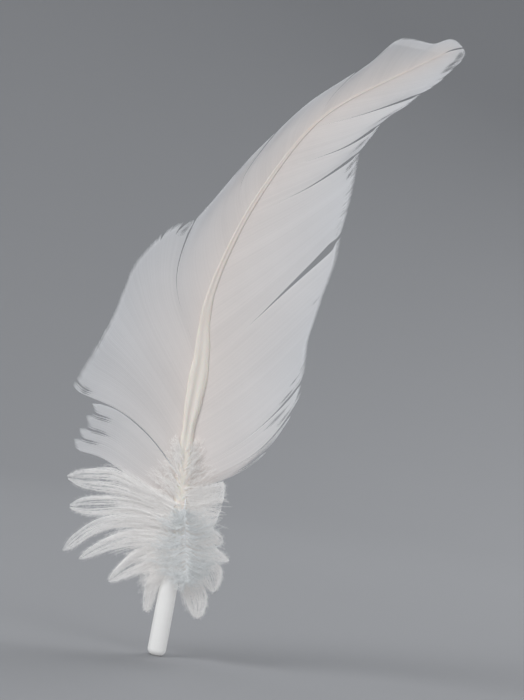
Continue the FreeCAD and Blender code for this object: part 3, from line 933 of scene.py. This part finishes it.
def fingers(side, table, body):
    """All the locks of down on one side of the barrel, each with its own seed."""
    for index, (low, high, lower, tip, upper) in enumerate(table):
        lines = panel_lines(side, low, high, lower + tip[:1], [], upper + tip[1:])
        finger(f"{body}_{index + 1}", body, side, lines, DOWN_SEEDS[side] + index)


fingers(-1, LEFT_DOWN, "left_down")
fingers(1, RIGHT_DOWN, "right_down")

# ---------------------------------------------------------------------------------------
# Base fluff: the shortest, softest barbs, which grow from the shaft's front and sides where
# the down ends and the vane begins, and veil the shaft there.
# ---------------------------------------------------------------------------------------
BASE_LOW = 29.0
BASE_HIGH = 70.0
BASE_THREADS = 700
BASE_LENGTH = (6.0, 14.0)
BASE_SEED = 71
BASE_TURN = 1.4
BASE_CLEAR = 0.05
BASE_OVER_VANE = 0.25
BASE_ARCH = 0.3
BASE_DROOP = 0.12
BASE_HALF_WIDTH = 0.06
BASE_THICKNESS = 0.6
BASE_HAIRS = (34, 1.2, 0.3)
# by height: how steeply the threads rise, and how long they are beside the longest
BASE_HEIGHTS = [29.0, 40.0, 52.0, 62.0, 70.0]
BASE_RISES = [-0.9, -0.35, 0.3, 1.1, 1.6]
BASE_LENGTHS = [0.7, 1.0, 0.95, 0.65, 0.35]
# The faint emission in the fluff's own colour is painted light, lifting the shade among the threads.
fluff_finish = Finish("base_fluff_threads", {"Specular IOR Level": 0.3, "Sheen Weight": 0.25,
                                             "Sheen Roughness": 0.6, "Emission Strength": 0.09})
fluff_tone = fluff_finish.value_of("tone")
fluff_colour = fluff_finish.shade((0.92, 0.905, 0.89, 1), 0.92 + fluff_tone * 0.08)
fluff_finish.set(Base_Color=fluff_colour, Emission_Color=fluff_colour, Roughness=0.65 + fluff_tone * 0.2)
random = np.random.default_rng(BASE_SEED)
share = np.linspace(0, 1, DOWN_STEPS)[None, :]
height = BASE_LOW + (BASE_HIGH - BASE_LOW) * random.uniform(0, 1, BASE_THREADS) ** 1.5
centre, sideways, half_width = shaft_place(height)
turn = random.uniform(-BASE_TURN, BASE_TURN, BASE_THREADS)
start = centre + sideways * (np.sin(turn) * (half_width + BASE_CLEAR))[:, None]
start[:, 1] -= np.cos(turn) * (half_width + BASE_CLEAR) * np.interp(height, BULGE_HEIGHTS, BULGE_SHARES)
spread = np.where(np.sin(turn) < 0, -1, 1) * random.uniform(0.4, 1.0, BASE_THREADS)
rise = np.interp(height, BASE_HEIGHTS, BASE_RISES) + random.normal(0, 0.3, BASE_THREADS)
heading = unit(np.stack([spread, random.uniform(-0.06, 0.08, BASE_THREADS), rise], -1))
length = random.uniform(*BASE_LENGTH, BASE_THREADS) * np.interp(height, BASE_HEIGHTS, BASE_LENGTHS)
curve = random.normal(0, 0.15, (BASE_THREADS, 1)) * share ** 2
place = start[:, None] + heading[:, None] * (length[:, None] * share)[..., None]
place[..., 2] += curve * length[:, None]
place[..., 0] += np.sign(spread)[:, None] * BASE_DROOP * length[:, None] * share ** 2
ground = sheet_depth(place[..., 0], place[..., 2])
place[..., 1] = np.minimum(place[..., 1], ground - BASE_OVER_VANE) - BASE_ARCH * np.sin(np.pi * share)
front = np.broadcast_to(np.array([0.0, -1.0, 0.0]), place.shape)
width = BASE_HALF_WIDTH * THREAD_TAPER
fluff = downy("base_fluff", place, front, width, BASE_THICKNESS, BASE_HAIRS, random, fluff_finish.material)
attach(fluff, "shaft")

# ---------------------------------------------------------------------------------------
# Afterfeather: a small downy feather hung from the upper umbilicus, in front of the barrel.
# Its thin stem carries loose grey-white threads to both sides.
# ---------------------------------------------------------------------------------------
AFTER_TOP = np.array([0.6, 51.0])
AFTER_END = np.array([5.6, 27.0])
AFTER_FRONT = 5.4
AFTER_OUTLINES = {
    "left": [(-1.5, 50.0), (-6.0, 46.0), (-7.4, 38.0), (-4.6, 30.0), (3.0, 26.0)],
    "right": [(3.2, 50.4), (11.0, 48.0), (15.4, 41.0), (13.8, 32.0), (8.0, 26.0)],
}
# The faint emission in the threads' own colour is painted light, lifting the shade among them.
after = Finish("afterfeather_threads", {"Specular IOR Level": 0.3, "Sheen Weight": 0.3,
                                        "Sheen Roughness": 0.6, "Emission Strength": 0.07})
after_tone = after.value_of("tone")
after_colour = after.shade((0.80, 0.82, 0.825, 1), 0.88 + after_tone * 0.12)
after.set(Base_Color=after_colour, Emission_Color=after_colour, Roughness=0.7 + after_tone * 0.2)

AFTER_STRAY = 3.0
AFTER_STRAY_SPREAD = 2.0
AFTER_THREADS = 150
AFTER_SEED = 80
AFTER_SHORT = 0.3
AFTER_SAG = 1.5
AFTER_SWAY = 0.7
AFTER_CURL = 0.9
AFTER_TAPER = np.linspace(1.1, 0.3, DOWN_STEPS)[None, :]

# The stem starts inside the shaft at the umbilicus and turns down in front of the barrel
STEM_BEND = [(0.2, -1.6, 53.6), (0.3, -3.4, 53.4), (0.45, -4.9, 52.4)]
STEM_RADIUS = 0.2
STEM_RING = 10
STEM_STEPS = 12
STEM_THINNING = 0.7
straight = np.linspace(0, 1, STEM_STEPS)[:, None]
stem_top = np.array([AFTER_TOP[0], -AFTER_FRONT, AFTER_TOP[1]])
stem_end = np.array([AFTER_END[0], -AFTER_FRONT, AFTER_END[1]])
stem_line = np.concatenate([STEM_BEND, stem_top * (1 - straight) + stem_end * straight])
stem_path = unit(np.gradient(stem_line, axis=0))
stem_side = np.broadcast_to(np.array([1.0, 0.0, 0.0]), stem_path.shape)
stem_front = unit(np.cross(stem_side, stem_path))
stem_rings = []
for ring, centre in enumerate(stem_line):
    radius = STEM_RADIUS * (1 - STEM_THINNING * ring / (len(stem_line) - 1))
    for k in range(STEM_RING):
        angle = 2 * math.pi * k / STEM_RING
        away = math.cos(angle) * stem_side[ring] + math.sin(angle) * stem_front[ring]
        stem_rings.append(centre + radius * away)
stem_faces = tube_faces(len(stem_line), STEM_RING)
stem = make_piece("afterfeather_stem", stem_rings, stem_faces, {}, after.material)
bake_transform(stem)
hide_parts("afterfeather_shaft")

for side, (name, outline) in zip((-1, 1), AFTER_OUTLINES.items()):
    random = np.random.default_rng(AFTER_SEED + side)
    count = AFTER_THREADS
    start = np.sort(random.random(count))
    root = AFTER_END[None, :] * (1 - start[:, None]) + AFTER_TOP[None, :] * start[:, None]
    stray = np.clip(random.normal(0, AFTER_STRAY_SPREAD, (count, 2)), -AFTER_STRAY, AFTER_STRAY)
    goal = read(line_through(outline[::-1]), start) + stray
    v = np.linspace(0, 1, DOWN_STEPS)[None, :, None]
    droop = np.array([0, -AFTER_SAG]) * np.sin(np.pi * v)
    reach = 1 - AFTER_SHORT * random.random((count, 1, 1)) ** 2
    flat = root[:, None] + (goal - root)[:, None] * v * reach + droop
    sway = random.normal(0, AFTER_SWAY, (count, 1)) * v[..., 0] + AFTER_CURL * v[..., 0] ** 2
    place = np.stack([flat[..., 0], -AFTER_FRONT + sway, flat[..., 1]], -1)
    front = np.broadcast_to(np.array([0.0, -1.0, 0.0]), place.shape)
    width = DOWN_HALF_WIDTH * AFTER_TAPER
    label = f"afterfeather_{name}"
    piece = downy(label, place, front, width, DOWN_THICKNESS, DOWN_HAIRS, random, after.material)
    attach(piece, "afterfeather")
    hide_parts(f"afterfeather_down_{name}")
